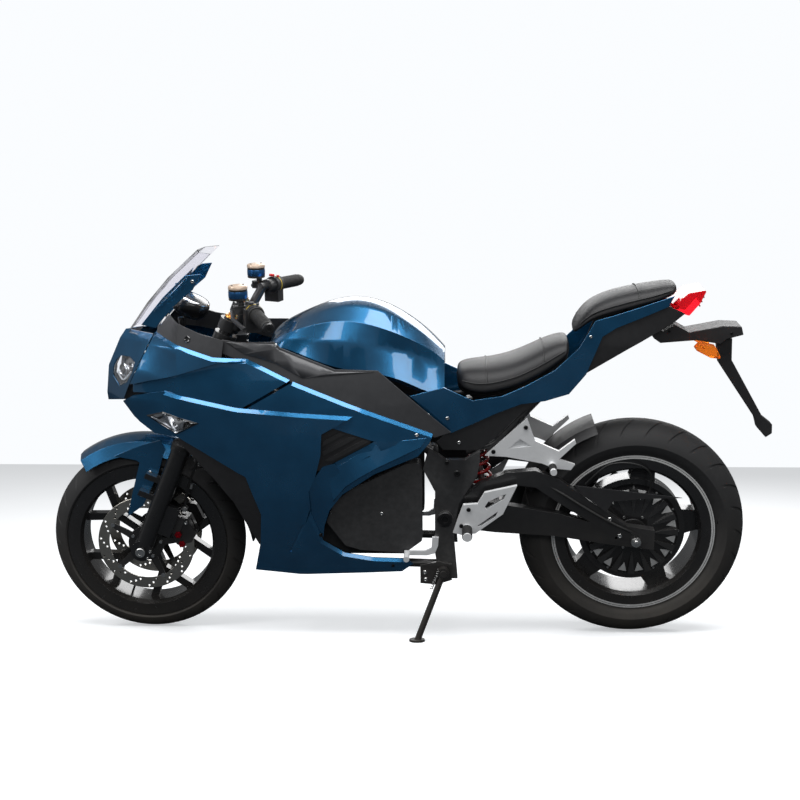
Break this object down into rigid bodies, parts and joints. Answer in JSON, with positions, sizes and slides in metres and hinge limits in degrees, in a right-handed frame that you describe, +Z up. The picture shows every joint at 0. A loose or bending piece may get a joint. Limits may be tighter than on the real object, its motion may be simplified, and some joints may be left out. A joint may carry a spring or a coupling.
{
  "type": "electric motorcycle",
  "caption": "Faired electric sport motorcycle leaning on its side stand, with a turning fork, free wheels, a hub motor and a swinging stand.",
  "frame": {"origin": "centre of the bounding box at floor level, under the leaning motorcycle", "axes": "+X towards the rear wheel, +Y towards the rider's right, +Z up from the floor"},
  "size_m": [2.0648, 0.7014, 1.1162],
  "materials": {
    "paint": "metallic gloss",
    "trim": "matte",
    "black_metal": "satin",
    "wheel_black": "satin",
    "tyre": "matte",
    "silver": "satin",
    "steel": "brushed",
    "rubber": "matte",
    "seat": "grained",
    "clear": "clear",
    "red_lens": "gloss",
    "spring_red": "gloss"
  },
  "bodies": {
    "chassis": {"main_frame": "black_metal", "rear_subframe": "black_metal", "battery_case": "black_metal", "battery_side_covers": "trim", "swing_arm": "black_metal", "rear_axles": "steel", "rear_guards": "trim", "rear_shock": "black_metal", "shock_spring": "spring_red", "tank_cover": "paint", "tank_side_trims": "trim", "nose_cowl": "paint", "upper_fairings": "paint", "lower_fairings": "paint", "fairing_vents": "trim", "fairing_liner": "trim", "front_lamps": "clear", "windscreen": "clear", "cockpit": "trim", "rider_seat": "seat", "pillion_seat": "seat", "tail_cowls": "paint", "tail_undertrays": "trim", "rear_lamps": "red_lens", "plate_carrier": "trim", "rear_caliper": "black_metal", "foot_rests": "silver", "stand_bracket": "black_metal"},
    "steering": {"fork_legs": "black_metal", "fork_yokes": "black_metal", "clip_on_bars": "black_metal", "grips": "rubber", "switchgear": "rubber", "brake_levers": "black_metal", "front_fender": "paint", "front_calipers": "black_metal"},
    "front_wheel": {"front_tyre": "tyre", "front_rim": "wheel_black", "front_discs": "steel"},
    "rear_wheel": {"rear_tyre": "tyre", "rear_rim": "wheel_black", "hub_motor": "wheel_black", "rear_disc": "steel"},
    "side_stand": {"side_stand": "black_metal"}
  },
  "joints": [
    {"name": "steering_turn", "type": "hinge", "parent": "chassis", "child": "steering", "pos_m": [-0.50508, 0.02801, 0.76606], "axis": [0.3907, -0.2071, 0.8969], "range_deg": [-24, 24]},
    {"name": "front_wheel_spin", "type": "hinge", "parent": "steering", "child": "front_wheel", "pos_m": [-0.7515, 0.14133, 0.27521], "axis": [0, 0.9744, 0.225], "continuous": true},
    {"name": "rear_wheel_spin", "type": "hinge", "parent": "chassis", "child": "rear_wheel", "pos_m": [0.6485, 0.13222, 0.3147], "axis": [0, 0.9744, 0.225], "continuous": true},
    {"name": "side_stand_swing", "type": "hinge", "parent": "chassis", "child": "side_stand", "pos_m": [0.1105, -0.01116, 0.19644], "axis": [0, -0.9744, -0.225], "range_deg": [0, 95]}
  ]
}
